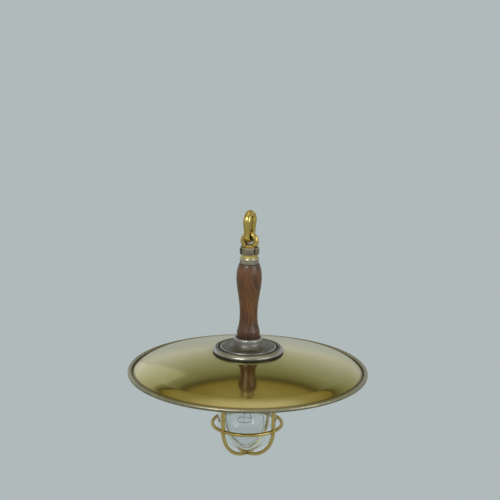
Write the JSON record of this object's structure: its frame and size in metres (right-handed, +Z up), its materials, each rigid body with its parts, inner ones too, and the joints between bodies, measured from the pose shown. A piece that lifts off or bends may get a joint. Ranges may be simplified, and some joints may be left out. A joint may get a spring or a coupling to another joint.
{
  "type": "hanging ship lantern",
  "caption": "Hanging ship's lantern: wooden handle stem on a brass link, shallow domed brass shade, and a clear glass jar with its bulb inside a brass guard.",
  "frame": {"origin": "the hang point: inside top of the hanging link, where a hook bears", "axes": "+Z up along the lamp's own axis, -Y the front, +X to the right seen from the front"},
  "size_m": [0.35, 0.35, 0.3692],
  "materials": {
    "link_brass": "cast and polished, darker in the hollows",
    "nut_iron": "browned and worn",
    "socket_brass": "turned",
    "ferrule_iron": "dull grey",
    "grommet_rubber": "matt black",
    "handle_wood": "oiled dark hardwood",
    "stem_steel": "plain turned",
    "flange_iron": "dull, brightened on the neck and lip",
    "gasket_rubber": "matt",
    "shade_brass": "spun and softly polished",
    "rim_brass": "tarnished grey-green",
    "gallery_brass": "turned, dull",
    "screw_brass": "plain",
    "bracket_steel": "zinc plated",
    "holder_porcelain": "white glazed porcelain",
    "contact_brass": "bright pressed",
    "cap_glass": "black glass",
    "lead_brown": "plain",
    "lead_blue": "plain",
    "lead_green": "plain",
    "bulb_clear": "thin clear",
    "filament_metal": "dark wire",
    "jar_clear": "thick clear",
    "guard_brass": "cast and polished, orange in the hollows"
  },
  "bodies": {
    "hanger": {"hanging_link": "link_brass"},
    "lamp": {"eye_stud": "link_brass", "gland_nut": "nut_iron", "handle_socket": "socket_brass", "handle_ferrule": "ferrule_iron", "cable_grommet": "grommet_rubber", "wood_handle": "handle_wood", "stem_tube": "stem_steel", "stem_nut": "stem_steel", "stem_washer": "stem_steel", "rim_wire": "stem_steel", "head_flange": "flange_iron", "flange_gasket": "gasket_rubber", "shade": "shade_brass", "rim_bead": "rim_brass", "gallery": "gallery_brass", "gallery_screws": "screw_brass", "bracket_screws": "screw_brass", "holder_screws": "screw_brass", "terminal_posts": "screw_brass", "earth_screw": "screw_brass", "holder_bracket": "bracket_steel", "holder_body": "holder_porcelain", "screw_shell": "contact_brass", "centre_contact": "contact_brass", "bulb_cap": "contact_brass", "cap_eyelet": "contact_brass", "cap_insulator": "cap_glass", "lead_live": "lead_brown", "lead_neutral": "lead_blue", "lead_earth": "lead_green", "bulb_glass": "bulb_clear", "bulb_mount": "bulb_clear", "filament": "filament_metal", "filament_supports": "filament_metal"},
    "glass": {"glass_jar": "jar_clear", "jar_gasket": "gasket_rubber"},
    "guard": {"guard_collar": "gallery_brass", "guard_hoop_a": "guard_brass", "guard_hoop_b": "guard_brass", "guard_ring": "guard_brass", "guard_rivets": "guard_brass"}
  },
  "joints": [
    {"name": "lamp_swing", "type": "hinge", "parent": "hanger", "child": "lamp", "pos_m": [0, 0, -0.026], "axis": [0.9272, -0.3746, 0], "range_deg": [-30, 30]},
    {"name": "guard_drop", "type": "slide", "parent": "lamp", "child": "glass", "axis": [0, 0, -1], "range_m": [0, 0.01]},
    {"name": "guard_turn", "type": "hinge", "parent": "glass", "child": "guard", "pos_m": [0, 0, -0.24], "axis": [0, 0, -1], "range_deg": [0, 1200]}
  ],
  "couplings": [
    {"joint": "guard_drop", "follows": "guard_turn", "m_per_rad": 0.00047746}
  ]
}
